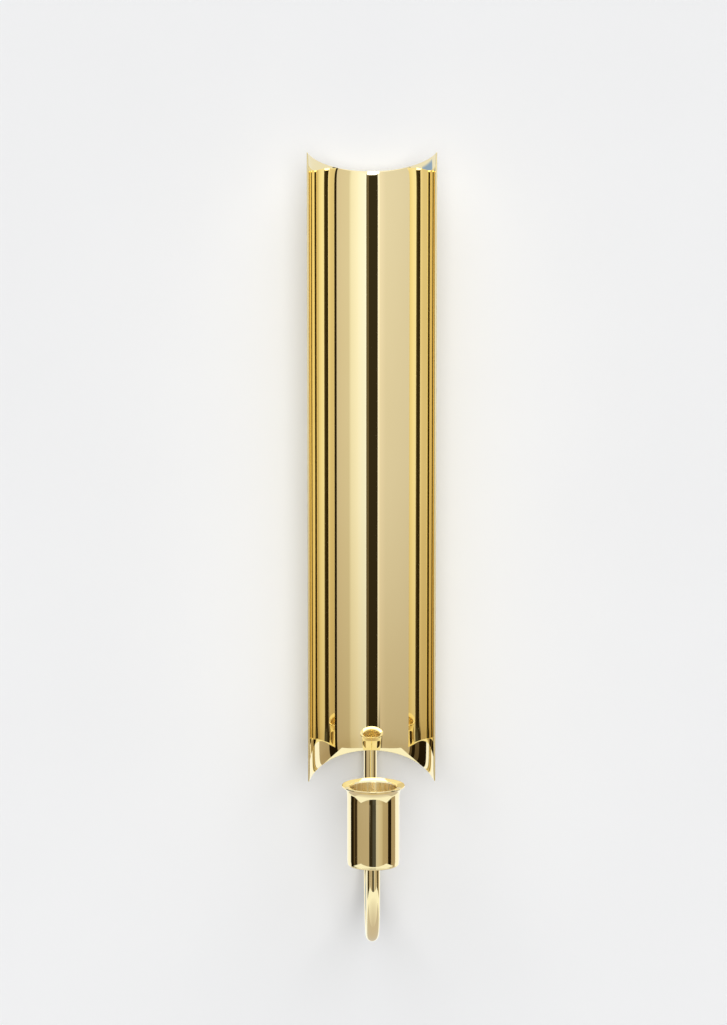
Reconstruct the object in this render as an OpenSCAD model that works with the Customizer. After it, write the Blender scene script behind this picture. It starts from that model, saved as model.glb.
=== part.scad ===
// Wall sconce for one candle: a half-pipe reflector, and a cup on a bent rod that swivels behind it.
// Millimetres. +X to the viewer's right, +Y into the wall, +Z up.
// The origin is the centre of the keyhole's head hole, on the wall plane (y = 0).

/* [Reflector] */
// Width across the two front edges
reflector_width = 65; // [50:0.5:90]
// Height of the reflector along its back line
reflector_height = 299; // [200:1:400]
// Half of the angle that the bent sheet turns through
half_angle = 75; // [60:1:85]
// Thickness of the sheet
sheet = 1; // [0.8:0.1:2]
// How far the slanted ends reach past the back line at the front, above and below
horn = 10.6; // [0:0.1:20]
// Height of the top edge, at the back line, above the keyhole
top_above_hook = 32; // [25:1:60]
// Distance from the wall to the back of the sheet
wall_gap = 15; // [14:0.5:25]

/* [Arm] */
// Diameter of the rod
rod_d = 6.8; // [6:0.1:8]
// Distance from the back of the sheet to the rod's centre line
rod_behind = 6; // [6:0.5:8]
// Distance from the inside of the sheet, at its back line, to the cup's axis
cup_reach = 60; // [55:0.5:75]
// Straight length of rod between the bend and the cup
front_leg = 11; // [8:0.1:40]

/* [Candle cup] */
// Diameter of the cup's straight wall
cup_d = 26.2; // [25:0.1:30]
// Diameter of the flared lip
lip_d = 31.5; // [30:0.1:36]
// Diameter of the hole that holds the candle
socket_d = 23.2; // [21:0.1:23.4]
// Depth of that hole
socket_depth = 31; // [20:1:32]
// Height of the cup
cup_h = 41; // [38:0.1:45]
// How far the lip is below the reflector's bottom edge at the back
lip_below = 3.7; // [1:0.1:20]

/* [Wall fixing] */
// Width of the keyhole plate
plate_w = 22; // [20:1:30]
// Thickness of the keyhole plate
plate_t = 2; // [1.5:0.1:2.5]
// Diameter of the keyhole's head hole
keyhole_d = 9; // [8:0.5:10]
// Width of the keyhole's slot
keyslot_w = 4.5; // [4:0.5:5]

/* [Hidden] */
$fn = 96;

fit = 0.02;                                   // gap between pieces that are fastened together
slack = 0.05;                                 // gap between pieces that turn on each other
clearance = 0.2;                              // gap around a screw in the piece that it clamps

outer_r = reflector_width / 2 / sin(half_angle);
inner_r = outer_r - sheet;
trough_y = -wall_gap - outer_r;               // axis of the bent sheet
trough_depth = inner_r * (1 - cos(half_angle));
bottom_z = top_above_hook - reflector_height; // bottom edge at the back line

rod_r = rod_d / 2;
rod_y = -wall_gap + rod_behind;               // centre line of the rear leg
cup_y = -wall_gap - sheet - cup_reach;        // axis of the cup and the front leg
bend_r = (rod_y - cup_y) / 2;
lip_z = bottom_z - lip_below;
cup_z = lip_z - cup_h;                        // underside of the cup
bend_z = cup_z - front_leg;                   // centre of the bend
spigot = 1.2;                                 // depth of the recess that the rod sits in

block_w = 20;
pad_t = plate_t;
hanger_z = [-44, -16];
block_rise = 10;                              // height of the arm block above the bottom edge
block_h = 34;
arm_block_z = [bottom_z + block_rise, bottom_z + block_rise + block_h];
screw_z = [-38, -22];                         // hanger screws
hook_slot = 10;                               // travel of the wall screw in the keyhole
plate_z = [-46, 18];

bush_wall = 0.5;
flange_t = 1;
flange_r = 5.5;
bush_len = 12;
stack_z = arm_block_z[1] + flange_t + slack;  // where the washers start
stud_r = 2.5;
washer_t = 1;
wave_t = 1.2;
nut_t = 4;
lock_t = 2.7;
nut_across = 8;
collar_h = 6;
collar_z = arm_block_z[0] - flange_t - 2 * slack - collar_h;
pin_r = 0.75;

screw_r = 2;
sink_r = 4;                                   // countersunk head
cup_head_r = 3.5;
cup_head_t = 2.4;
cup_washer_t = 0.8;
cup_washer_r = 4.5;
counterbore = 3.4;                            // depth of the recess for the screw's head
counterbore_r = 5;
floor_z = lip_z - socket_depth;
head_z = floor_z - counterbore;
lip_t = 0.7;
flare_r = 4;
dish = 0.7;
bottom_round = 1.2;

// Solid on +Y's side of the sheet, between two heights, seated on the sheet's back.
module saddle_block(span) {
    chamfer = 1.5;
    w = block_w / 2;
    overlap = 3;                              // past the back line, before the sheet's curve is cut out
    front = -wall_gap - overlap;
    translate([0, 0, span[0]])
        linear_extrude(height = span[1] - span[0])
            difference() {
                polygon([[-w, front], [w, front], [w, -pad_t - chamfer], [w - chamfer, -pad_t],
                         [chamfer - w, -pad_t], [-w, -pad_t - chamfer]]);
                translate([0, trough_y]) circle(r = outer_r + fit, $fn = 180);
            }
}

// Ring from z to z + t.
module ring(z, t, outer, inner) {
    translate([0, 0, z]) difference() {
        cylinder(h = t, r = outer);
        translate([0, 0, -1]) cylinder(h = t + 2, r = inner);
    }
}

// Hexagon nut with chamfered corners, from z to z + t.
module hex_nut(z, t, across, bore_r) {
    corner = across / 2 / cos(30);
    bevel = 0.5;
    translate([0, 0, z]) difference() {
        intersection() {
            cylinder(h = t, r = corner, $fn = 6);
            rotate_extrude()
                polygon([[0, 0], [corner - bevel, 0], [corner, bevel], [corner, t - bevel],
                         [corner - bevel, t], [0, t]]);
        }
        translate([0, 0, -1]) cylinder(h = t + 2, r = bore_r);
    }
}

module reflector() {
    reach = outer_r * 2;
    slant = atan(horn / trough_depth);
    color("gold") difference() {
        translate([0, trough_y, bottom_z - horn])
            linear_extrude(height = reflector_height + 2 * horn)
                intersection() {
                    difference() {
                        circle(r = outer_r, $fn = 180);
                        circle(r = inner_r, $fn = 180);
                    }
                    polygon([[0, 0], [reach * sin(half_angle), reach * cos(half_angle)],
                             [reach, reach * 2], [-reach, reach * 2],
                             [-reach * sin(half_angle), reach * cos(half_angle)]]);
                }
        translate([0, -wall_gap - sheet, bottom_z]) rotate([slant, 0, 0])
            translate([-reach, -reach, -reach]) cube([2 * reach, 2 * reach, reach]);
        translate([0, -wall_gap - sheet, top_above_hook]) rotate([-slant, 0, 0])
            translate([-reach, -reach, 0]) cube([2 * reach, 2 * reach, reach]);
    }
}

module hanger_block() {
    tapped = 10;
    color("darkgoldenrod") difference() {
        saddle_block(hanger_z);
        for (z = screw_z)
            translate([0, -pad_t - tapped, z]) rotate([-90, 0, 0]) cylinder(h = tapped + 2, r = screw_r + fit);
    }
}

module hanger_plate() {
    corner = 5;
    w = plate_w;
    h = plate_z[1] - plate_z[0];
    color("darkgoldenrod") difference() {
        translate([0, 0, (plate_z[0] + plate_z[1]) / 2]) rotate([90, 0, 0])
            linear_extrude(height = plate_t) {
                square([w - 2 * corner, h], center = true);
                square([w, h - 2 * corner], center = true);
                for (x = [-1, 1], z = [-1, 1])
                    translate([x * (w / 2 - corner), z * (h / 2 - corner)]) circle(r = corner);
            }
        translate([0, 1, 0]) rotate([90, 0, 0]) linear_extrude(height = plate_t + 2) {
            circle(d = keyhole_d);
            translate([-keyslot_w / 2, 0]) square([keyslot_w, hook_slot]);
            translate([0, hook_slot]) circle(d = keyslot_w);
        }
        for (z = screw_z) translate([0, 0, z]) rotate([90, 0, 0]) {
            translate([0, 0, -1]) cylinder(h = plate_t + 2, r = screw_r + clearance);
            cylinder(h = plate_t, r1 = sink_r + fit, r2 = sink_r - plate_t + fit);
        }
    }
}

module hanger_screws() {
    shank = 11;
    slot_w = 1;
    slot_d = 1;
    color("silver") for (z = screw_z) translate([0, 0, z]) rotate([90, 0, 0]) difference() {
        union() {
            cylinder(h = sink_r - screw_r, r1 = sink_r, r2 = screw_r);
            cylinder(h = shank, r = screw_r);
        }
        translate([-sink_r - 1, -slot_w / 2, -1]) cube([2 * sink_r + 2, slot_w, slot_d + 1]);
    }
}

module arm_block() {
    color("darkgoldenrod") difference() {
        saddle_block(arm_block_z);
        translate([0, rod_y, arm_block_z[0] - 1])
            cylinder(h = arm_block_z[1] - arm_block_z[0] + 2, r = rod_r + bush_wall);
    }
}

// Two flanged liners, one pushed in from each end of the bore.
module arm_bushes() {
    color("ivory") translate([0, rod_y, 0]) {
        ring(arm_block_z[0] - flange_t, flange_t, flange_r, rod_r + slack);
        ring(arm_block_z[0], bush_len, rod_r + bush_wall, rod_r + slack);
        ring(arm_block_z[1] - bush_len, bush_len, rod_r + bush_wall, rod_r + slack);
        ring(arm_block_z[1], flange_t, flange_r, rod_r + slack);
    }
}

module wall_pads() {
    pad_r = 5;
    inset = 8;
    color("dimgray") for (z = [arm_block_z[0] + inset, arm_block_z[1] - inset])
        translate([0, 0, z]) rotate([90, 0, 0]) cylinder(h = pad_t, r = pad_r);
}

// Bent rod: rear leg with a threaded top, half-circle bend, front leg tapped for the cup screw.
module arm() {
    below_stack = 0.5;
    above_nuts = 2;
    shoulder_z = stack_z - below_stack;
    top_z = stack_z + washer_t + wave_t + nut_t + lock_t + above_nuts;
    bevel = 0.6;
    tapped = 10;
    color("gold") difference() {
        union() {
            translate([0, rod_y, bend_z]) cylinder(h = shoulder_z - bend_z, r = rod_r);
            translate([0, rod_y, shoulder_z]) cylinder(h = top_z - bevel - shoulder_z, r = stud_r);
            translate([0, rod_y, top_z - bevel]) cylinder(h = bevel, r1 = stud_r, r2 = stud_r - bevel);
            translate([0, (rod_y + cup_y) / 2, bend_z]) rotate([0, 90, 0]) rotate([0, 0, -90])
                rotate_extrude(angle = 180) translate([bend_r, 0]) circle(r = rod_r);
            translate([0, cup_y, bend_z]) cylinder(h = front_leg + spigot, r = rod_r);
        }
        translate([0, cup_y, cup_z + spigot - tapped]) cylinder(h = tapped + 1, r = screw_r + fit);
        translate([-rod_d, rod_y, collar_z + collar_h / 2])
            rotate([0, 90, 0]) cylinder(h = 2 * rod_d, r = pin_r + fit);
    }
}

module arm_collar() {
    color("darkgoldenrod") translate([0, rod_y, 0]) difference() {
        ring(collar_z, collar_h, flange_r, rod_r + fit);
        translate([-rod_d, 0, collar_z + collar_h / 2])
            rotate([0, 90, 0]) cylinder(h = 2 * rod_d, r = pin_r + fit);
    }
}

module collar_pin() {
    sunk = 0.3;                               // how far its ends lie inside the collar
    half = flange_r - sunk;
    color("silver") translate([-half, rod_y, collar_z + collar_h / 2])
        rotate([0, 90, 0]) cylinder(h = 2 * half, r = pin_r);
}

module thrust_washer() {
    color("gold") translate([0, rod_y, 0]) ring(stack_z, washer_t, flange_r, stud_r + fit);
}

// Conical spring washer: its rim rests on the thrust washer and its centre presses on the nut.
module wave_washer() {
    rim_r = 5;
    plate = 0.5;
    base = stack_z + washer_t;
    color("silver") translate([0, rod_y, base]) rotate_extrude()
        polygon([[stud_r + fit, wave_t - plate], [rim_r, 0], [rim_r, plate], [stud_r + fit, wave_t]]);
}

module arm_nut() {
    color("gold") translate([0, rod_y, 0])
        hex_nut(stack_z + washer_t + wave_t, nut_t, nut_across, stud_r + fit);
}

module lock_nut() {
    color("gold") translate([0, rod_y, 0])
        hex_nut(stack_z + washer_t + wave_t + nut_t, lock_t, nut_across, stud_r + fit);
}

// Turned cup: outline in (radius, height) with the lip's plane at 0.
module candle_cup() {
    wall_r = cup_d / 2;
    lip_r = lip_d / 2;
    socket_r = socket_d / 2;
    flare_z = -lip_t - sqrt(pow(flare_r, 2) - pow(flare_r - (lip_r - wall_r), 2));
    mouth = 0.6;
    rim = 0.3;                                // flat width at the lip's outer edge
    color("gold") translate([0, cup_y, lip_z]) rotate_extrude($fn = 144) difference() {
        union() {
            translate([0, bottom_round - cup_h]) square([wall_r, cup_h - bottom_round]);
            translate([0, -cup_h]) square([wall_r - bottom_round, cup_h]);
            translate([wall_r - bottom_round, bottom_round - cup_h]) circle(r = bottom_round);
            difference() {
                translate([0, flare_z]) square([lip_r, -flare_z]);
                translate([wall_r + flare_r, flare_z]) circle(r = flare_r);
            }
        }
        polygon([[0, 1], [lip_r - rim, 1], [lip_r - rim, 0], [socket_r + mouth, -dish],
                 [socket_r, -dish - mouth], [socket_r, -socket_depth], [0, -socket_depth]]);
        translate([0, -socket_depth - counterbore]) square([counterbore_r, counterbore + 1]);
        translate([0, -cup_h - 1]) square([screw_r + clearance, cup_h]);
        translate([0, -cup_h - 1]) square([rod_r + fit, spigot + 1]);
    }
}

module cup_washer() {
    color("silver") translate([0, cup_y, 0]) ring(head_z, cup_washer_t, cup_washer_r, screw_r + fit);
}

module cup_screw() {
    shank = 13;
    slot_w = 1;
    slot_d = 1.2;
    edge = 0.5;
    color("silver") translate([0, cup_y, head_z + cup_washer_t]) difference() {
        union() {
            cylinder(h = cup_head_t - edge, r = cup_head_r);
            translate([0, 0, cup_head_t - edge]) cylinder(h = edge, r1 = cup_head_r, r2 = cup_head_r - edge);
            translate([0, 0, -shank]) cylinder(h = shank, r = screw_r);
        }
        translate([-cup_head_r - 1, -slot_w / 2, cup_head_t - slot_d])
            cube([2 * cup_head_r + 2, slot_w, slot_d + 1]);
    }
}

reflector();
hanger_block();
hanger_plate();
hanger_screws();
arm_block();
arm_bushes();
wall_pads();
arm();
arm_collar();
collar_pin();
thrust_washer();
wave_washer();
arm_nut();
lock_nut();
candle_cup();
cup_washer();
cup_screw();
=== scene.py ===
"""Looks of the wall candle sconce: fine brass meshes and materials, in a white photo studio."""

import math

import bmesh
import bpy
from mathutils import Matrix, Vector


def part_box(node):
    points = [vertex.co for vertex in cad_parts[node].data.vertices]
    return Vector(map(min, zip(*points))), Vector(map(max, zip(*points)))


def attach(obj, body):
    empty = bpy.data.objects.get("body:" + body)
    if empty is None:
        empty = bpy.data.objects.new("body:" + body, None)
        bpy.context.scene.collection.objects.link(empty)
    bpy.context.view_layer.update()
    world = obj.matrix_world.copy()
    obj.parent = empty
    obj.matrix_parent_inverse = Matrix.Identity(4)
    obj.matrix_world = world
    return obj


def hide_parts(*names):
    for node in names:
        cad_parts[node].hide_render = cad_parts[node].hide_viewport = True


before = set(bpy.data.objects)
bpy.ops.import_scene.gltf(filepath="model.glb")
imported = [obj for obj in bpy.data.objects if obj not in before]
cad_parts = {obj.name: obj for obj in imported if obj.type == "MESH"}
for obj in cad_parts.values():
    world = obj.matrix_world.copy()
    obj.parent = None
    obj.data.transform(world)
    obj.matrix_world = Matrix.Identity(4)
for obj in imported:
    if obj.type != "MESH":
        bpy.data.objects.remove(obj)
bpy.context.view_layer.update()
scene = bpy.context.scene
MM = 0.001

# ---------------------------------------------------------------- sizes, in metres
SHEET = 1 * MM
HALF_ANGLE = math.radians(75)
HORN = 10.6 * MM                             # how far the slanted ends reach past the back line
ROD_R = 3.4 * MM
STUD_R = 2.5 * MM
SPIGOT = 1.2 * MM                            # depth of the recess in the cup that the rod sits in

lo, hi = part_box("reflector")
OUTER_R = (hi.x - lo.x) / 2 / math.sin(HALF_ANGLE)
INNER_R = OUTER_R - SHEET
TROUGH_Y = hi.y - OUTER_R
END_LOW, END_HIGH = lo.z + HORN, hi.z - HORN  # the ends at the back line
SLANT = HORN / (INNER_R * (1 - math.cos(HALF_ANGLE)))

lo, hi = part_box("arm")
ROD_Y = hi.y - ROD_R
CUP_Y = lo.y + ROD_R
BEND_R = (ROD_Y - CUP_Y) / 2
BEND_Z = lo.z + BEND_R + ROD_R
STUD_TOP = hi.z
SHOULDER_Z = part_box("thrust_washer")[0].z - 0.5 * MM  # the rod narrows just below the washer

lo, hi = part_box("candle_cup")
LIP_R = (hi.x - lo.x) / 2
LIP_Z = hi.z
CUP_Z = lo.z


# ---------------------------------------------------------------- mesh helpers
def make_object(name, verts, faces, materials, face_material=None):
    mesh = bpy.data.meshes.new(name)
    mesh.from_pydata([tuple(v) for v in verts], [], faces)
    for material in materials:
        mesh.materials.append(material)
    if face_material:
        mesh.polygons.foreach_set("material_index", face_material)
    mesh.polygons.foreach_set("use_smooth", [True] * len(mesh.polygons))
    bm = bmesh.new()
    bm.from_mesh(mesh)
    bmesh.ops.recalc_face_normals(bm, faces=bm.faces)
    bm.to_mesh(mesh)
    bm.free()
    obj = bpy.data.objects.new(name, mesh)
    scene.collection.objects.link(obj)
    return obj


def grid_faces(rows, cols, close_rows=False):
    """Quads between closed rows of points, numbered row by row. close_rows joins the last to the first."""
    faces = []
    for i in range(rows if close_rows else rows - 1):
        for j in range(cols):
            i2, j2 = (i + 1) % rows, (j + 1) % cols
            faces.append((i * cols + j, i * cols + j2, i2 * cols + j2, i2 * cols + j))
    return faces


def rounded(points, steps=6):
    """A closed outline of (a, b, radius of the corner), with its corners rounded."""
    close_by = 0.12                          # of the radius: a point this far past each end of an arc
    out = []
    count = len(points)
    for i, (a, b, radius) in enumerate(points):
        here = Vector((a, b))
        if radius <= 0:
            out.append(here)
            continue
        before = Vector(points[i - 1][:2])
        after = Vector(points[(i + 1) % count][:2])
        u, v = (before - here).normalized(), (after - here).normalized()
        half = math.acos(max(-1, min(1, u.dot(v)))) / 2
        reach = radius / math.tan(half)
        centre = here + (u + v).normalized() * (radius / math.sin(half))
        start, end = here + u * reach, here + v * reach
        out.append(start + u * close_by * radius)
        s, e = start - centre, end - centre
        sweep = s.angle_signed(e)
        for k in range(steps + 1):
            t = -sweep * k / steps
            c, n = math.cos(t), math.sin(t)
            out.append(centre + Vector((s.x * c - s.y * n, s.x * n + s.y * c)))
        out.append(end + v * close_by * radius)
    return [(p.x, p.y) for p in out]


# ---------------------------------------------------------------- materials
def new_material(name):
    material = bpy.data.materials.new(name)
    material.use_nodes = True
    nodes, links = material.node_tree.nodes, material.node_tree.links
    return material, nodes, links, nodes["Principled BSDF"]


def stretched(nodes, links, scale):
    """Object coordinates times a scale for each axis."""
    place = nodes.new("ShaderNodeTexCoord")
    mapping = nodes.new("ShaderNodeMapping")
    mapping.inputs["Scale"].default_value = scale
    links.new(place.outputs["Object"], mapping.inputs["Vector"])
    return mapping.outputs["Vector"]


def noise(nodes, links, scale, detail=2.0, rough=0.5):
    """Noise with that many waves a metre along each axis."""
    texture = nodes.new("ShaderNodeTexNoise")
    texture.inputs["Scale"].default_value = 1.0
    texture.inputs["Detail"].default_value = detail
    texture.inputs["Roughness"].default_value = rough
    links.new(stretched(nodes, links, scale), texture.inputs["Vector"])
    return texture.outputs["Fac"]


NOISE_LOW, NOISE_HIGH = 0.3, 0.7             # the span that nearly all of a noise falls in


def spread(nodes, links, value, low, high):
    """The noise's span taken to low to high."""
    scale = nodes.new("ShaderNodeMapRange")
    scale.inputs["From Min"].default_value = NOISE_LOW
    scale.inputs["From Max"].default_value = NOISE_HIGH
    scale.inputs["To Min"].default_value = low
    scale.inputs["To Max"].default_value = high
    links.new(value, scale.inputs["Value"])
    return scale.outputs["Result"]


def tint(nodes, links, value, low, high):
    """Colour from low to high over the noise's span."""
    ramp = nodes.new("ShaderNodeValToRGB")
    ramp.color_ramp.elements[0].position = NOISE_LOW
    ramp.color_ramp.elements[0].color = (*low, 1)
    ramp.color_ramp.elements[1].position = NOISE_HIGH
    ramp.color_ramp.elements[1].color = (*high, 1)
    links.new(value, ramp.inputs["Fac"])
    return ramp.outputs["Color"]


def bump(nodes, links, height, distance, normal=None):
    node = nodes.new("ShaderNodeBump")
    node.inputs["Strength"].default_value = 1.0
    node.inputs["Distance"].default_value = distance
    links.new(height, node.inputs["Height"])
    if normal is not None:
        links.new(normal, node.inputs["Normal"])
    return node.outputs["Normal"]


def metal(name, low, high, gloss, grain, grain_depth, wave=None, wave_depth=0.0, patch=(40, 40, 12)):
    """A metal: its colour drifts over patches, its roughness and bump follow a grain, and it may wave.

    grain, wave and patch are noises, in waves a metre along each axis. The depths are in metres.
    """
    material, nodes, links, shader = new_material(name)
    shader.inputs["Metallic"].default_value = 1.0
    links.new(tint(nodes, links, noise(nodes, links, patch, 3), low, high), shader.inputs["Base Color"])
    lines = noise(nodes, links, grain, 3, 0.6)
    links.new(spread(nodes, links, lines, *gloss), shader.inputs["Roughness"])
    normal = bump(nodes, links, lines, grain_depth)
    if wave:
        normal = bump(nodes, links, noise(nodes, links, wave, 1), wave_depth, normal)
    links.new(normal, shader.inputs["Normal"])
    return material


BRASS_LOW, BRASS_HIGH = (0.945, 0.82, 0.495), (0.965, 0.845, 0.525)
brass_mirror = metal("brass_mirror", BRASS_LOW, BRASS_HIGH, (0.012, 0.03), (900, 900, 12), 1.5e-7,
                     wave=(60, 60, 6), wave_depth=1.2e-5)
brass_polished = metal("brass_polished", BRASS_LOW, BRASS_HIGH, (0.02, 0.05), (900, 900, 60), 2e-7)
brass_bore = metal("brass_bore", (0.93, 0.78, 0.44), (1.0, 0.94, 0.68), (0.22, 0.34),
                   (900, 900, 30), 4e-6, patch=(520, 520, 16))
reamed = brass_bore.node_tree.nodes["Principled BSDF"].inputs
reamed["Anisotropic"].default_value = 0.92
reamed["Anisotropic Rotation"].default_value = 0.25
round_z = brass_bore.node_tree.nodes.new("ShaderNodeTangent")
round_z.direction_type, round_z.axis = "RADIAL", "Z"
brass_bore.node_tree.links.new(round_z.outputs["Tangent"], reamed["Tangent"])
brass_turned = metal("brass_turned", (0.83, 0.66, 0.36), (0.90, 0.74, 0.44), (0.18, 0.32),
                     (200, 200, 2600), 6e-6)
brass_satin = metal("brass_satin", (0.76, 0.58, 0.30), (0.87, 0.69, 0.38), (0.24, 0.42),
                    (260, 900, 2200), 9e-6, patch=(90, 90, 60))
steel_zinc = metal("steel_zinc", (0.60, 0.61, 0.64), (0.74, 0.74, 0.73), (0.22, 0.40), (900, 900, 900),
                   6e-6, patch=(400, 400, 400))


def nylon_material():
    material, nodes, links, shader = new_material("nylon")
    cloud = noise(nodes, links, (300, 300, 300), 3)
    links.new(tint(nodes, links, cloud, (0.74, 0.71, 0.62), (0.86, 0.84, 0.77)),
              shader.inputs["Base Color"])
    links.new(spread(nodes, links, cloud, 0.38, 0.5), shader.inputs["Roughness"])
    links.new(bump(nodes, links, noise(nodes, links, (2500, 2500, 2500)), 8e-6), shader.inputs["Normal"])
    return material


def felt_material():
    material, nodes, links, shader = new_material("felt")
    fibres = noise(nodes, links, (2600, 2600, 900), 5, 0.7)
    links.new(tint(nodes, links, fibres, (0.035, 0.033, 0.031), (0.115, 0.11, 0.10)),
              shader.inputs["Base Color"])
    links.new(spread(nodes, links, fibres, 0.85, 1.0), shader.inputs["Roughness"])
    shader.inputs["Sheen Weight"].default_value = 0.35
    links.new(bump(nodes, links, fibres, 1.5e-4), shader.inputs["Normal"])
    return material


nylon, felt = nylon_material(), felt_material()

# ---------------------------------------------------------------- camera
camera_data = bpy.data.cameras.new("camera")
camera = bpy.data.objects.new("camera", camera_data)
scene.collection.objects.link(camera)
scene.camera = camera
camera.location = (-0.040, -1.7936, 0.1346)
camera.rotation_euler = (math.radians(90 - 8.85), 0, math.radians(-1.17))
camera_data.lens = 123.6
camera_data.clip_start = 0.01


# ---------------------------------------------------------------- reflector
EDGE = 0.25 * MM                             # rounding of the sheet's edges
ROLL_SLOPE, ROLL_REACH = 0.16, 2.6 * MM      # buffing turns the face away by this slope at the very end


def rolled(distance):
    """How far the polished face falls back at this distance from an end."""
    return ROLL_SLOPE * ROLL_REACH * math.exp(-distance / ROLL_REACH)


def quarter():
    """Rounding's inset from the face and from the end, from the end's flat to the face."""
    steps = 5
    for k in range(steps + 1):
        a = math.radians(90) * k / steps
        yield EDGE * (1 - math.sin(a)), EDGE * (1 - math.cos(a))


def end_rows():
    """(inset from the face, distance from the end) from the end to the plain part of the sheet."""
    rows = list(quarter())
    rows += [(0, EDGE + d * MM) for d in (0.03, 0.15, 0.4, 0.8, 1.3, 2, 3, 4.2, 6, 8.5, 12, 17)]
    return rows


def sheet_point(angle, radius, distance, top):
    """A spot of the sheet, at this distance from its slanted top or bottom end."""
    slant = SLANT * (radius * math.cos(angle) - INNER_R)
    z = END_HIGH - slant - distance if top else END_LOW + slant + distance
    return (radius * math.sin(angle), TROUGH_Y + radius * math.cos(angle), z)


def build_reflector():
    # (angle, inset from the faces) from one front edge to the other
    stations = [(HALF_ANGLE - d / INNER_R, inset) for inset, d in quarter()]
    stations += [(HALF_ANGLE - (EDGE + d * MM) / INNER_R, 0) for d in (0.03, 0.15, 0.4)]
    strips = 300
    first = stations[-1][0]
    stations += [(first * (1 - 2 * k / strips), 0) for k in range(1, strips)]
    stations += [(-angle, inset) for angle, inset in reversed(stations[:len(stations) - strips + 1])]
    # round the sheet at each station: up its polished face, and down its back
    rows = end_rows()
    verts = []
    for angle, shrink in stations:
        for top, order in ((False, rows), (True, rows[::-1])):
            verts += [sheet_point(angle, INNER_R + inset + shrink + rolled(d), shrink + d, top)
                      for inset, d in order]
        for top, order in ((True, rows), (False, rows[::-1])):
            verts += [sheet_point(angle, OUTER_R - inset - shrink, shrink + d, top) for inset, d in order]
    loop = 4 * len(rows)
    faces = grid_faces(len(stations), loop)
    half = loop // 2
    for base in (0, (len(stations) - 1) * loop):
        for i in range(half - 1):
            faces.append((base + i, base + i + 1, base + loop - 2 - i, base + loop - 1 - i))
    reflector = make_object("reflector_sheet", verts, faces, [brass_mirror])
    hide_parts("reflector")
    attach(reflector, "sconce")


# ---------------------------------------------------------------- candle cup
def lathe(name, outline, axis_y, materials, zone):
    """Turns a closed outline of (radius, height) about an upright axis; zone picks each band's material."""
    segments = 192
    verts, index = [], []
    for i, (radius, z) in enumerate(outline):
        for k in range(segments):
            a = 2 * math.pi * k / segments
            verts.append((radius * math.cos(a), axis_y + radius * math.sin(a), z))
        next_radius, next_z = outline[(i + 1) % len(outline)]
        index += [zone((radius + next_radius) / 2, (z + next_z) / 2)] * segments
    return make_object(name, verts, grid_faces(len(outline), segments, close_rows=True), materials, index)


def build_cup():
    wall, flare, lip_t, dish, mouth = 13.1 * MM, 4 * MM, 0.7 * MM, 0.7 * MM, 0.6 * MM
    socket, depth = 11.6 * MM, 31 * MM
    counterbore, counterbore_r = 3.4 * MM, 5 * MM
    screw_hole, spigot_r = 2.2 * MM, 3.42 * MM
    roll = 0.14 * MM                         # buffing rounds the bottom end
    foot, slope = 3 * MM, 0.09               # and softens the foot of the flare
    lean = math.atan(slope)
    shift = slope * (foot / 2 + flare * math.sin(lean)) - flare * (1 - math.cos(lean))
    drop = math.sqrt(flare**2 - (flare - (LIP_R - wall - shift)) ** 2)
    flare_z = LIP_Z - lip_t - drop
    low = [
        (socket, LIP_Z - dish - mouth, 0.5 * MM), (socket, LIP_Z - depth, 0.4 * MM),
        (counterbore_r, LIP_Z - depth, 0.15 * MM),
        (counterbore_r, LIP_Z - depth - counterbore, 0.2 * MM),
        (screw_hole, LIP_Z - depth - counterbore, 0.1 * MM),
        (screw_hole, CUP_Z + SPIGOT, 0.1 * MM), (spigot_r, CUP_Z + SPIGOT, 0.1 * MM),
        (spigot_r, CUP_Z, 0.12 * MM), (wall - roll, CUP_Z, 0.9 * MM),
    ]
    rise, fan = 8, 16                        # points up the softened ends and round the flare
    low += [(wall - roll * (1 - k / rise) ** 2, CUP_Z + (1.1 + k * 0.3) * MM, 0) for k in range(rise + 1)]
    curve = [(wall + slope * foot * (k / rise) ** 2 / 2, flare_z - foot * (1 - k / rise), 0)
             for k in range(rise)]
    for k in range(fan + 1):
        a = lean + (math.asin(drop / flare) - lean) * k / fan
        curve.append((wall + shift + flare * (1 - math.cos(a)), flare_z + flare * math.sin(a), 0))
    high = [(LIP_R, LIP_Z - lip_t, 0.12 * MM), (LIP_R, LIP_Z, 0.3 * MM),
            (LIP_R - 0.5 * MM, LIP_Z, 0.3 * MM), (socket + mouth, LIP_Z - dish, 0.25 * MM)]
    outline = rounded(low + curve[:-1] + high)

    def zone(radius, z):
        """Inside the hole the brass is reamed, and elsewhere it is polished."""
        return 1 if radius < socket + 0.05 * MM and CUP_Z + 1.5 * MM < z < LIP_Z - dish - mouth else 0

    cup = lathe("cup_turned", outline, CUP_Y, [brass_polished, brass_bore], zone)
    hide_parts("candle_cup")
    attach(cup, "swivel_arm")


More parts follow.
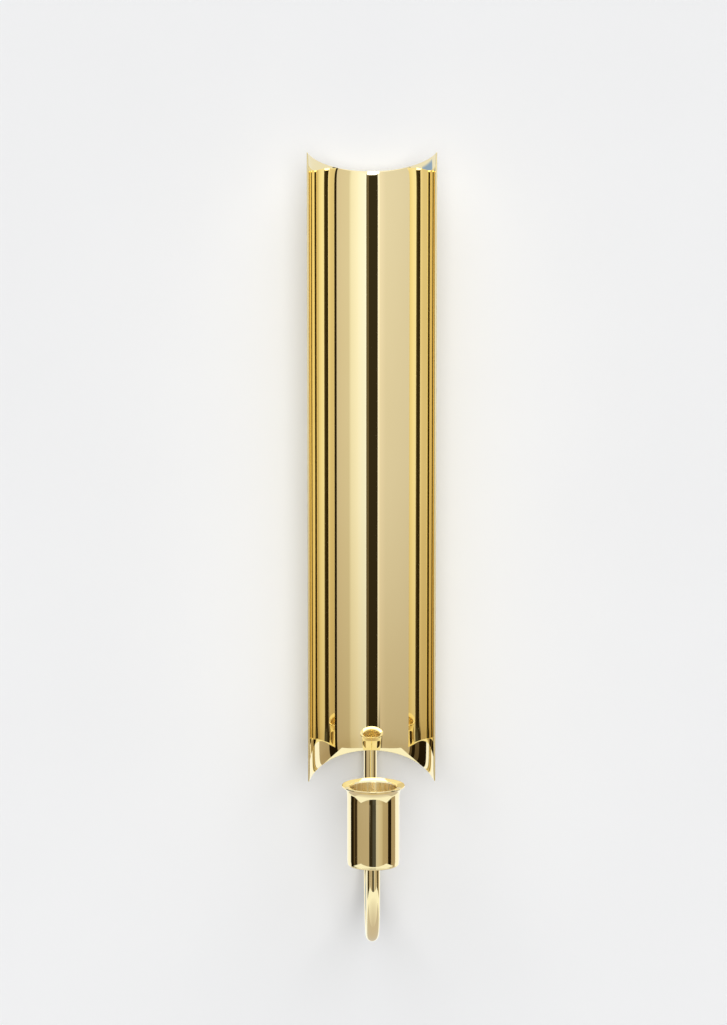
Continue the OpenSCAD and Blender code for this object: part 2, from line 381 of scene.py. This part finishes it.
# ---------------------------------------------------------------- arm
def build_arm():
    segments = 72
    tapped_r, tapped, drill_tip = 2.02 * MM, 10 * MM, 1.1 * MM
    pitch, groove_depth = 0.8 * MM, 0.344 * MM
    tip = 0.6 * MM                           # chamfer on the threaded end
    turn_steps = 14
    verts, rows = [], 0

    def ring(centre, across, radius):
        """One ring round the rod; across is the direction of angle 90."""
        nonlocal rows
        for k in range(segments):
            a = 2 * math.pi * k / segments
            r = radius(a) if callable(radius) else radius
            verts.append(centre + Vector((1, 0, 0)) * r * math.cos(a) + across * r * math.sin(a))
        rows += 1

    forward = Vector((0, -1, 0))
    # threaded end, from its tip down
    top = Vector((0, ROD_Y, STUD_TOP))
    length = STUD_TOP - SHOULDER_Z
    steps = int(length / pitch * turn_steps)
    ring(top, forward, STUD_R - tip)
    for k in range(1, steps + 1):
        z = STUD_TOP - length * k / steps
        cone = min(0.0, (STUD_TOP - z) - tip)
        runout = min(1.0, (z - SHOULDER_Z) / pitch)

        def screw(a, z=z, cone=cone, runout=runout):
            turn = (z / pitch - a / (2 * math.pi)) % 1.0
            groove = groove_depth * runout * (1 - abs(2 * turn - 1))
            return max(STUD_R - tip, min(STUD_R + cone, STUD_R - groove))

        ring(Vector((0, ROD_Y, z)), forward, screw)
    # rounded shoulder, then the rear leg
    shoulder, arc = 0.3 * MM, 4
    for k in range(arc + 1):
        a = math.radians(90) * k / arc
        ring(Vector((0, ROD_Y, SHOULDER_Z - shoulder * (1 - math.cos(a)))), forward,
             ROD_R - shoulder * (1 - math.sin(a)))
    near = 0.5 * MM                          # rings this close keep the shading of a leg straight
    for z in (SHOULDER_Z - near, (SHOULDER_Z + BEND_Z) / 2, BEND_Z + near):
        ring(Vector((0, ROD_Y, z)), forward, ROD_R)
    middle = Vector((0, (ROD_Y + CUP_Y) / 2, BEND_Z))
    bend = 120
    for k in range(bend + 1):
        a = math.pi * k / bend
        outward = Vector((0, math.cos(a), -math.sin(a)))
        ring(middle + outward * BEND_R, -outward, ROD_R)
    # front leg, its end and the tapped hole in it
    back = Vector((0, 1, 0))
    end = CUP_Z + SPIGOT
    edge = 0.15 * MM
    for z, radius in ((BEND_Z + near, ROD_R), (end - 1 * MM, ROD_R), (end - edge, ROD_R),
                      (end - 0.3 * edge, ROD_R - 0.3 * edge), (end, ROD_R - edge),
                      (end, tapped_r + edge), (end - edge, tapped_r), (end - tapped, tapped_r),
                      (end - tapped - drill_tip, 0.1 * MM)):
        ring(Vector((0, CUP_Y, z)), back, radius)
    faces = grid_faces(rows, segments)
    faces.append(tuple(range(segments)))
    faces.append(tuple(range((rows - 1) * segments, rows * segments)))
    arm = make_object("arm_rod", verts, faces, [brass_polished])
    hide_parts("arm")
    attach(arm, "swivel_arm")


build_reflector()
build_cup()
build_arm()

# ---------------------------------------------------------------- CAD pieces that stay
# node: material, and the width of its rounded edges in millimetres
KEPT = {
    "hanger_block": (brass_satin, 0.25), "hanger_plate": (brass_satin, 0.2),
    "hanger_screws": (steel_zinc, 0.08), "arm_block": (brass_satin, 0.25), "arm_bushes": (nylon, 0.12),
    "wall_pads": (felt, 0.25), "arm_collar": (brass_turned, 0.2), "collar_pin": (steel_zinc, 0.1),
    "thrust_washer": (brass_turned, 0.1), "wave_washer": (steel_zinc, 0.05),
    "arm_nut": (brass_turned, 0.12), "lock_nut": (brass_turned, 0.12), "cup_washer": (steel_zinc, 0.08),
    "cup_screw": (steel_zinc, 0.1),
}
for node, (material, width) in KEPT.items():
    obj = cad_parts[node]
    for slot in range(len(obj.data.materials)):
        obj.data.materials[slot] = material
    if not obj.data.materials:
        obj.data.materials.append(material)
    bevel = obj.modifiers.new("edges", "BEVEL")
    bevel.width = width * MM
    bevel.segments = 3
    bevel.limit_method = "ANGLE"
    bevel.angle_limit = math.radians(40)
    bevel.harden_normals = True


# ---------------------------------------------------------------- studio
def stage_object(name, verts, faces, material):
    mesh = bpy.data.meshes.new(name)
    mesh.from_pydata(verts, [], faces)
    mesh.materials.append(material)
    obj = bpy.data.objects.new(name, mesh)
    scene.collection.objects.link(obj)
    return obj


def plain(name, colour, see_through=False):
    """Matt paint with a faint mottle; see_through shows nothing of its back."""
    material, nodes, links, shader = new_material(name)
    cloud = noise(nodes, links, (9, 9, 9), 3)
    mottle = 0.985
    low = tuple(mottle * c for c in colour)
    links.new(tint(nodes, links, cloud, low, colour), shader.inputs["Base Color"])
    shader.inputs["Roughness"].default_value = 0.9
    shader.inputs["Specular IOR Level"].default_value = 0.0
    if see_through:
        geometry = nodes.new("ShaderNodeNewGeometry")
        clear = nodes.new("ShaderNodeBsdfTransparent")
        either = nodes.new("ShaderNodeMixShader")
        output = next(n for n in nodes if n.type == "OUTPUT_MATERIAL")
        links.new(geometry.outputs["Backfacing"], either.inputs["Fac"])
        links.new(shader.outputs["BSDF"], either.inputs[1])
        links.new(clear.outputs["BSDF"], either.inputs[2])
        links.new(either.outputs["Shader"], output.inputs["Surface"])
    return material


def glowing(name):
    """A material with an even glow, which isn't sampled as a lamp."""
    material = bpy.data.materials.new(name)
    material.use_nodes = True
    nodes, links = material.node_tree.nodes, material.node_tree.links
    nodes.clear()
    glow = nodes.new("ShaderNodeEmission")
    output = nodes.new("ShaderNodeOutputMaterial")
    links.new(glow.outputs["Emission"], output.inputs["Surface"])
    material.cycles.emission_sampling = "NONE"
    return material, nodes, links, glow


def only_for(obj, kept):
    """Only this kind of ray sees the object."""
    for ray in ("camera", "diffuse", "glossy", "transmission", "volume_scatter", "shadow"):
        setattr(obj, "visible_" + ray, ray == kept)


WALL_Y, FLOOR_Z, CEILING_Z, SIDE = 0.0006, -1.3, 2.5, 3.0
wall = stage_object(
    "wall",
    [(-SIDE, WALL_Y, FLOOR_Z), (SIDE, WALL_Y, FLOOR_Z), (SIDE, WALL_Y, CEILING_Z),
     (-SIDE, WALL_Y, CEILING_Z)],
    [(0, 1, 2, 3)], plain("wall_paint", (0.90, 0.90, 0.905), see_through=True))
wall.visible_glossy = False
wall.visible_shadow = False
plan = ((-SIDE, -SIDE), (SIDE, -SIDE), (SIDE, SIDE), (-SIDE, SIDE))
floor = stage_object("floor", [(x, y, FLOOR_Z) for x, y in plan], [(0, 1, 2, 3)],
                     plain("floor_paint", (0.86, 0.86, 0.85)))
floor.visible_glossy = False
floor.visible_diffuse = False

# pale surroundings for the views from the sides and from behind
backdrop_paint, _, _, backdrop_glow = glowing("backdrop_paint")
backdrop_glow.inputs["Color"].default_value = (0.80, 0.80, 0.81, 1)
backdrop = stage_object(
    "backdrop",
    [(x, y, z) for z in (FLOOR_Z, CEILING_Z) for x, y in plan],
    [(k, (k + 1) % 4, 4 + (k + 1) % 4, 4 + k) for k in range(4)] + [(4, 5, 6, 7)], backdrop_paint)
only_for(backdrop, "camera")

# Glowing stand-ins for the white cards, dark gaps, floor and ceiling that the brass reflects: painted light
# that only reflections see. Azimuth in degrees, 0 towards the camera and positive to its left: (start, end,
# colour at start, colour at end).
BLACK = (0.02, 0.014, 0.006)
BROWN = (0.15, 0.12, 0.075)
DARK = (0.036, 0.029, 0.015)
SMOKE = (0.085, 0.085, 0.075)
PAPER = (0.88, 0.89, 0.89)
CARDS = [
    (-180, -111, PAPER, PAPER),
    (-111, -84, (0.66, 0.60, 0.50), (0.60, 0.54, 0.44)),
    (-84, -65.7, BLACK, BLACK),
    (-65.7, -61, (0.67, 0.61, 0.50), (0.68, 0.62, 0.51)),
    (-61, -41, (0.68, 0.62, 0.51), (0.71, 0.665, 0.55)),
    (-41, -37, (0.73, 0.69, 0.58), (0.90, 0.89, 0.80)),
    (-37, -24, (0.90, 0.89, 0.80), (1.00, 1.01, 0.98)),
    (-24, -13, (1.00, 1.02, 1.02), (0.98, 1.05, 1.12)),
    (-13, -9.4, (0.98, 1.05, 1.12), (1.06, 1.14, 1.24)),
    (-9.4, -4.9, BROWN, BROWN),
    (-4.9, 6, DARK, DARK),
    (6, 11.2, DARK, DARK),
    (11.2, 14.5, (1.06, 1.06, 1.04), (0.98, 0.97, 0.94)),
    (14.5, 18, (0.86, 0.82, 0.77), (0.83, 0.79, 0.74)),
    (18, 26, (0.83, 0.79, 0.74), (0.76, 0.73, 0.67)),
    (26, 75, (0.76, 0.73, 0.67), (0.72, 0.69, 0.63)),
    (75, 80, BROWN, BROWN),
    (80, 87, BLACK, BLACK),
    (87, 97, BROWN, BROWN),
    (97, 118, BLACK, BLACK),
    (118, 180, PAPER, PAPER),
]
GAP_TOP, GAP_SIDES = -0.35, (-77, 75)        # above and past these, the dark side gaps end in paper
PAPER_FOOT = 1.2                             # paper glows this much more below GAP_TOP
# the dark foot below the middle cards, with two tones
STAND_TOP, STAND_SIDES, STAND_SPLIT = -0.64, (-9.4, 18), 6
BLUE_CARD, BLUE_SIDES, BLUE_HEIGHTS = (0.29, 0.45, 0.85), (101, 135), (-0.18, 0.08)
FLOOR_GLOW, FLOOR_SHADE = (1.02, 1.04, 0.98), (0.62, 0.56, 0.50)
SKY_GLOW = (1.05, 1.08, 1.10)
SOFTBOX_GLOW, SOFTBOX_MIDDLE, SOFTBOX_HALF = (3.6, 3.6, 3.5), 3, 11
BACK_SKY, BACK_SIDE = (0.84, 0.86, 0.88), 95
RING_R, RING_LOW, RING_HIGH = 1.6, -1.25, 1.7
RING_CENTRE = (0.0, -0.05)


def mix(a, b, t):
    return tuple(x + (y - x) * t for x, y in zip(a, b))


def lit(colour, z):
    """Painted shade: a card glows darker and warmer towards the floor."""
    bright, falls = 1.08, (0.40, 0.48, 0.60)
    start, reach = -0.05, 0.63
    t = max(0.0, min(1.0, (start - z) / reach)) ** 2
    return tuple(c * (bright - t * fall) for c, fall in zip(colour, falls))


def card_span(azimuth):
    """Heights of a card's bottom and top edges: the bottom sags in front and again towards the back."""
    bottom, sag, side = -0.73, 0.24, 57
    top, rise, rise_from, rise_over = 0.18, 0.17, 8, 10
    off = abs(azimuth)
    if off < side:
        bottom -= sag * math.cos(math.radians(off * 90 / side))
    else:
        bottom -= sag * math.sin(math.radians((off - side) * 180 / (180 - side)))
    return bottom, top + rise * max(0.0, min(1.0, (off - rise_from) / rise_over))


def between(value, limits):
    return limits[0] < value < limits[1]


def tone(azimuth, z, colour):
    """Colour of a spot on the ring: the dark side gaps are low, and a blue card stands on the left."""
    if between(azimuth, BLUE_SIDES) and between(z, BLUE_HEIGHTS):
        return BLUE_CARD
    if colour == PAPER:
        return tuple(PAPER_FOOT * c for c in PAPER) if z < GAP_TOP else PAPER
    if z < STAND_TOP and STAND_SIDES[0] <= azimuth <= STAND_SIDES[1]:
        return SMOKE if azimuth < STAND_SPLIT else DARK
    if z > GAP_TOP and (azimuth < GAP_SIDES[0] or azimuth > GAP_SIDES[1]):
        return PAPER
    return lit(colour, z)


def sky_tone(azimuth):
    """Colour above the cards: a softbox in front, and a dimmer back."""
    if abs(azimuth - SOFTBOX_MIDDLE) < SOFTBOX_HALF:
        return SOFTBOX_GLOW
    return BACK_SKY if abs(azimuth) > BACK_SIDE else SKY_GLOW


def ring_point(azimuth, z):
    a = math.radians(azimuth)
    return (RING_CENTRE[0] - RING_R * math.sin(a), RING_CENTRE[1] - RING_R * math.cos(a), z)


def build_ring():
    widest, rows = 3, 20                     # degrees of a strip, and strips up a card
    verts, faces, colours = [], [], []

    def quad(a0, a1, low, high, tones):
        base = len(verts)
        verts.extend([ring_point(a0, low[0]), ring_point(a1, low[1]),
                      ring_point(a1, high[1]), ring_point(a0, high[0])])
        faces.append((base, base + 1, base + 2, base + 3))
        colours.extend(tones)

    for start, end, first, last in CARDS:
        count = max(1, math.ceil((end - start) / widest))
        for k in range(count):
            t0, t1 = k / count, (k + 1) / count
            a0, a1 = start + (end - start) * t0, start + (end - start) * t1
            c0, c1 = mix(first, last, t0), mix(first, last, t1)
            (b0, h0), (b1, h1) = card_span(a0), card_span(a1)
            quad(a0, a1, (RING_LOW, RING_LOW), (b0, b1), [FLOOR_GLOW] * 4)
            for r in range(rows):
                low = [b + (h - b) * r / rows for b, h in ((b0, h0), (b1, h1))]
                high = [b + (h - b) * (r + 1) / rows for b, h in ((b0, h0), (b1, h1))]
                quad(a0, a1, low, high, [
                    tone(a0, low[0], c0), tone(a1, low[1], c1),
                    tone(a1, high[1], c1), tone(a0, high[0], c0)])
            quad(a0, a1, (h0, h1), (RING_HIGH, RING_HIGH), [sky_tone((a0 + a1) / 2)] * 4)
    # floor and ceiling
    around, steps = 72, 8
    for z, outer, inner in ((RING_LOW, FLOOR_GLOW, FLOOR_SHADE), (RING_HIGH, SKY_GLOW, SKY_GLOW)):
        for i in range(steps):
            t0, t1 = i / steps, (i + 1) / steps
            for k in range(around):
                base = len(verts)
                for t, a in ((t0, k), (t1, k), (t1, k + 1), (t0, k + 1)):
                    p = ring_point(360 * a / around, z)
                    verts.append((RING_CENTRE[0] + (p[0] - RING_CENTRE[0]) * t,
                                  RING_CENTRE[1] + (p[1] - RING_CENTRE[1]) * t, z))
                    rim = outer if math.cos(math.radians(360 * a / around)) > 0 else inner
                    colours.append(mix(inner, rim, t))
                faces.append((base, base + 1, base + 2, base + 3))

    material, nodes, links, glow = glowing("card_light")
    paint = nodes.new("ShaderNodeAttribute")
    paint.attribute_name = "card"
    links.new(paint.outputs["Color"], glow.inputs["Color"])
    ring = stage_object("card_ring", verts, faces, material)
    layer = ring.data.color_attributes.new("card", "FLOAT_COLOR", "CORNER")
    layer.data.foreach_set("color", [x for c in colours for x in (*c, 1.0)])
    only_for(ring, "glossy")


build_ring()


def lamp(name, towards, strength, width, colour=(1, 1, 1)):
    """A far, wide lamp that shines along a direction. The brass doesn't mirror it."""
    data = bpy.data.lights.new(name, "SUN")
    data.energy = strength
    data.angle = math.radians(width)
    data.color = colour
    obj = bpy.data.objects.new(name, data)
    scene.collection.objects.link(obj)
    obj.rotation_euler = Vector(towards).to_track_quat("-Z", "Y").to_euler()
    obj.visible_glossy = False


lamp("key", (-0.03, 1.0, -0.10), 1.36, 34, (1, 1, 0.985))
lamp("overhead", (-0.02, 1.0, -1.25), 2.24, 74)

world = bpy.data.worlds.new("studio")
scene.world = world
world.use_nodes = True
background = world.node_tree.nodes["Background"]
background.inputs["Color"].default_value = (0.93, 0.97, 1.06, 1)
background.inputs["Strength"].default_value = 0.10

scene.view_settings.view_transform = "Standard"
scene.cycles.max_bounces = 14
scene.cycles.glossy_bounces = 14
scene.cycles.diffuse_bounces = 3
